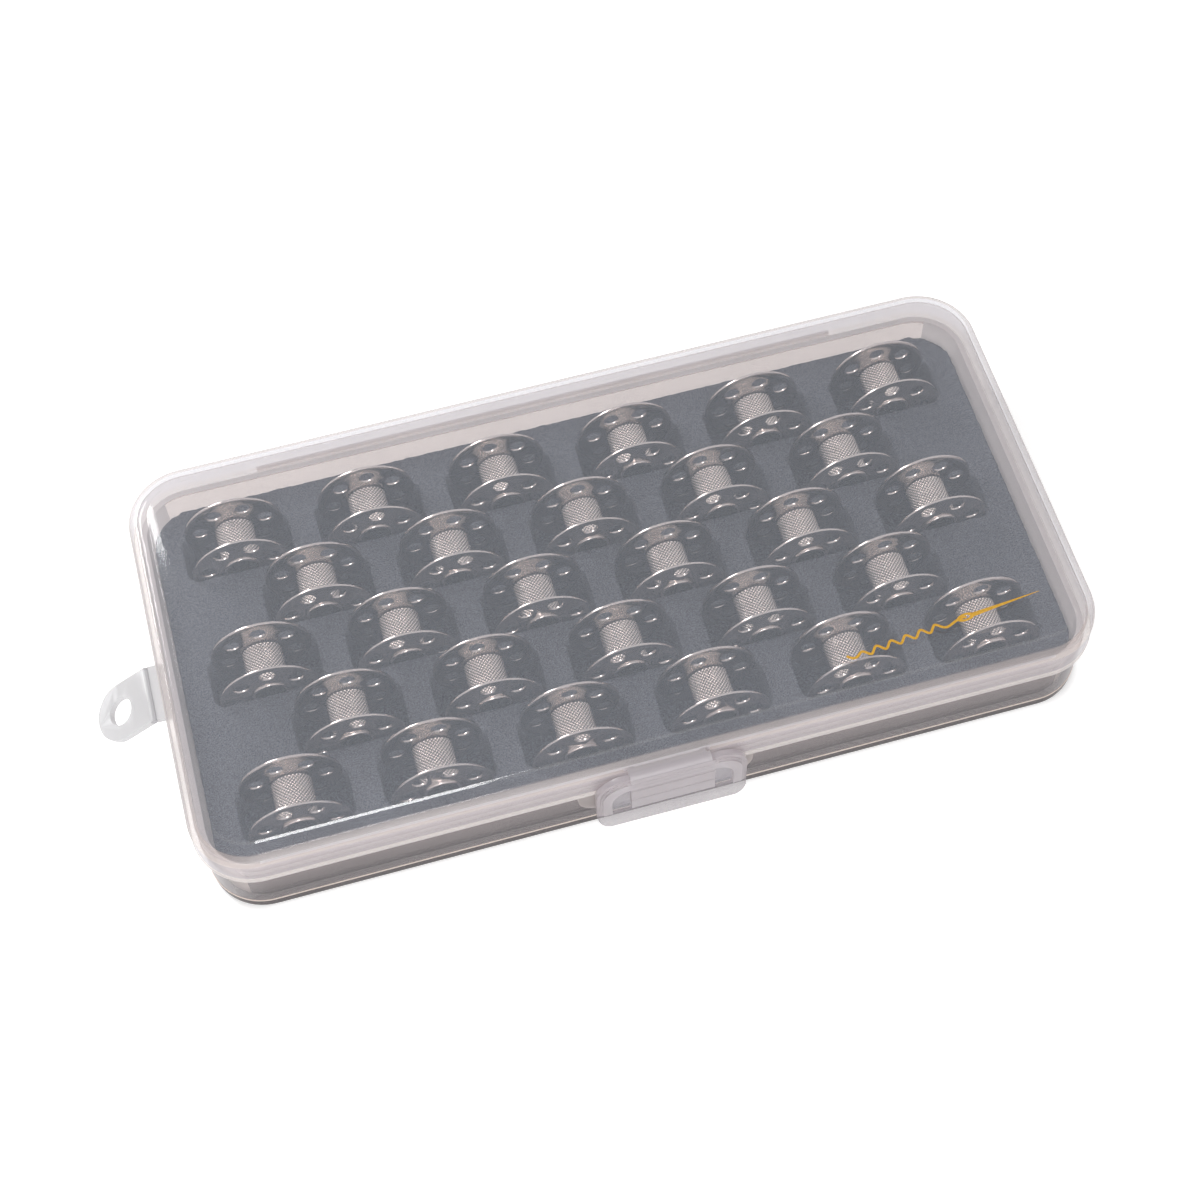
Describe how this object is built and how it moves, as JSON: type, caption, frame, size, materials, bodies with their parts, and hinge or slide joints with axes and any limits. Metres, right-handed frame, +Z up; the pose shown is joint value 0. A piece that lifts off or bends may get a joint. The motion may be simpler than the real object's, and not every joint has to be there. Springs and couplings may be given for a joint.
{
  "type": "thread spool storage box",
  "caption": "Flat translucent snap-lid case with a slotted foam insert that stores metal sewing machine bobbins on edge in staggered rows.",
  "frame": {"origin": "centre of the tray's flat underside, on the plane of the case's two mid-planes", "axes": "+X along the long side, towards the end without the hang tab; +Y from the latch to the hinge; +Z up through the lid"},
  "size_m": [0.1945, 0.0949, 0.0238],
  "materials": {
    "case": "translucent polypropylene, softly milky",
    "latch": "thicker translucent polypropylene, whiter",
    "foam": "dark grey closed-cell foam, finely speckled",
    "bobbin_steel": "nickel-plated pressed steel, knurled hub"
  },
  "bodies": {
    "base": {"tray": "case", "foam_insert": "foam", "foam_backing": "foam", "rear_hinge_web": "case", "bobbin_01": "bobbin_steel", "bobbin_02": "bobbin_steel", "bobbin_03": "bobbin_steel", "bobbin_04": "bobbin_steel", "bobbin_05": "bobbin_steel", "bobbin_06": "bobbin_steel", "bobbin_07": "bobbin_steel", "bobbin_08": "bobbin_steel", "bobbin_09": "bobbin_steel", "bobbin_10": "bobbin_steel", "bobbin_11": "bobbin_steel", "bobbin_12": "bobbin_steel", "bobbin_13": "bobbin_steel", "bobbin_14": "bobbin_steel", "bobbin_15": "bobbin_steel", "bobbin_16": "bobbin_steel", "bobbin_17": "bobbin_steel", "bobbin_18": "bobbin_steel", "bobbin_19": "bobbin_steel", "bobbin_20": "bobbin_steel", "bobbin_21": "bobbin_steel", "bobbin_22": "bobbin_steel", "bobbin_23": "bobbin_steel", "bobbin_24": "bobbin_steel", "bobbin_25": "bobbin_steel", "bobbin_26": "bobbin_steel", "bobbin_27": "bobbin_steel", "bobbin_28": "bobbin_steel"},
    "lid": {"lid": "case"},
    "latch": {"front_latch": "latch"},
    "hang_tab": {"hang_tab": "case"}
  },
  "joints": [
    {"name": "lid_hinge", "type": "hinge", "parent": "base", "child": "lid", "pos_m": [0, 0.0458, 0.0147], "axis": [-1, 0, 0], "range_deg": [0, 180]},
    {"name": "latch_pivot", "type": "hinge", "parent": "lid", "child": "latch", "pos_m": [0, -0.046, 0.0216], "axis": [-1, 0, 0], "range_deg": [0, 95]},
    {"name": "tab_fold", "type": "hinge", "parent": "base", "child": "hang_tab", "pos_m": [-0.093, 0, 0.0138], "axis": [0, 1, 0], "range_deg": [-40, 105]}
  ]
}
